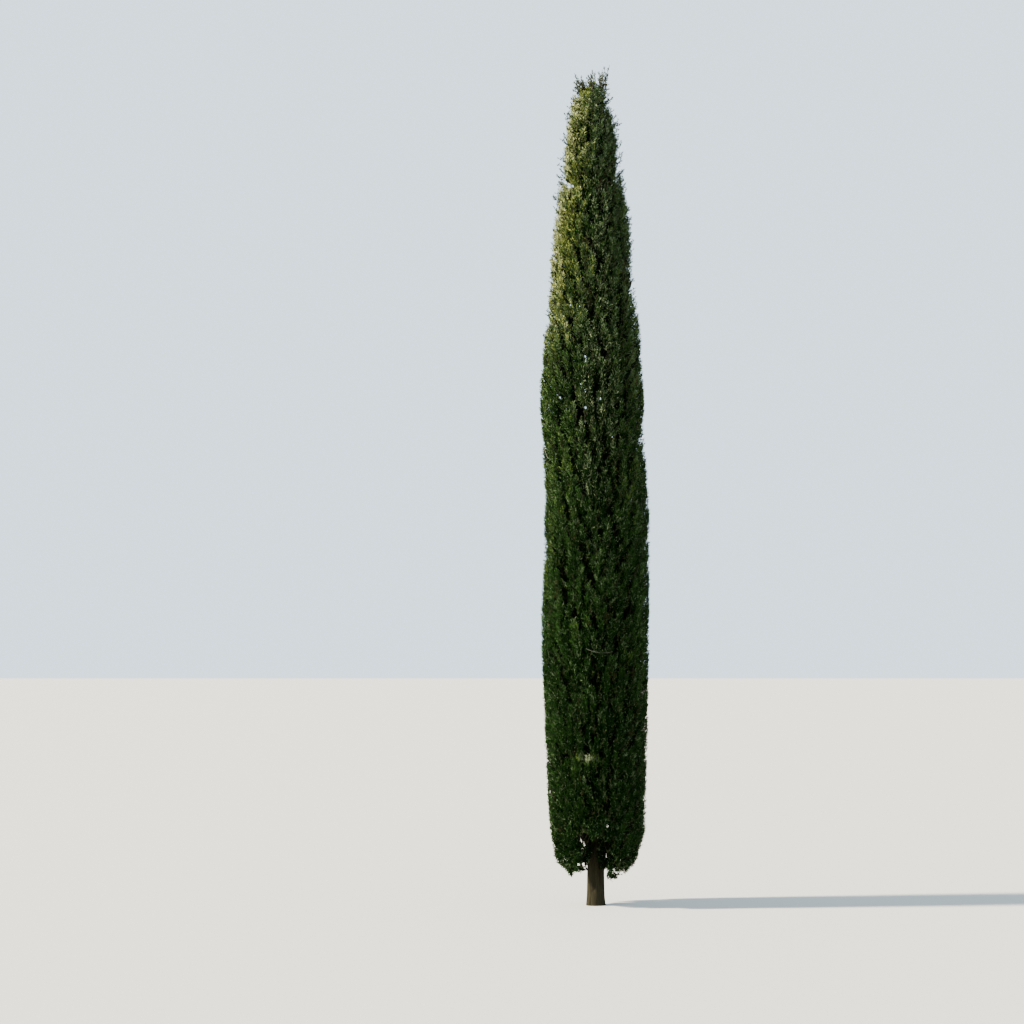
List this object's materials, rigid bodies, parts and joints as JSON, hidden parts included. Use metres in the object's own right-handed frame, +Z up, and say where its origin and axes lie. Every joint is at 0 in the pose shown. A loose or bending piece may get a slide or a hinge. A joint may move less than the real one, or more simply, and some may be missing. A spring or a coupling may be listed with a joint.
{
  "type": "italian cypress tree",
  "caption": "Slim upright evergreen tree: a short bare trunk under a tall narrow column of dense foliage plumes, each carried on its own rising bough.",
  "frame": {"origin": "middle of the flat cut under the trunk, at ground level", "axes": "+Z up along the trunk; -Y faces the picture's camera; +X is the camera's right"},
  "size_m": [0.7482, 0.7462, 6.024],
  "materials": {
    "bark": "rough fibrous grey-brown bark",
    "foliage": "matt dark green scale leaves in upright sprays"
  },
  "bodies": {
    "root": {"bough_1_1": "bark", "bough_1_2": "bark", "bough_1_3": "bark", "bough_1_4": "bark", "bough_1_5": "bark", "bough_2_1": "bark", "bough_2_2": "bark", "bough_2_3": "bark", "bough_2_4": "bark", "bough_2_5": "bark", "bough_3_1": "bark", "bough_3_2": "bark", "bough_3_3": "bark", "bough_3_4": "bark", "bough_3_5": "bark", "bough_4_1": "bark", "bough_4_2": "bark", "bough_4_3": "bark", "bough_4_4": "bark", "bough_4_5": "bark", "bough_5_1": "bark", "bough_5_2": "bark", "bough_5_3": "bark", "bough_5_4": "bark", "bough_6_1": "bark", "bough_6_2": "bark", "bough_6_3": "bark", "bough_6_4": "bark", "plume_1_1": "foliage", "plume_1_2": "foliage", "plume_1_3": "foliage", "plume_1_4": "foliage", "plume_1_5": "foliage", "plume_2_1": "foliage", "plume_2_2": "foliage", "plume_2_3": "foliage", "plume_2_4": "foliage", "plume_2_5": "foliage", "plume_3_1": "foliage", "plume_3_2": "foliage", "plume_3_3": "foliage", "plume_3_4": "foliage", "plume_3_5": "foliage", "plume_4_1": "foliage", "plume_4_2": "foliage", "plume_4_3": "foliage", "plume_4_4": "foliage", "plume_4_5": "foliage", "plume_5_1": "foliage", "plume_5_2": "foliage", "plume_5_3": "foliage", "plume_5_4": "foliage", "plume_6_1": "foliage", "plume_6_2": "foliage", "plume_6_3": "foliage", "plume_6_4": "foliage", "trunk": "bark"}
  },
  "joints": []
}
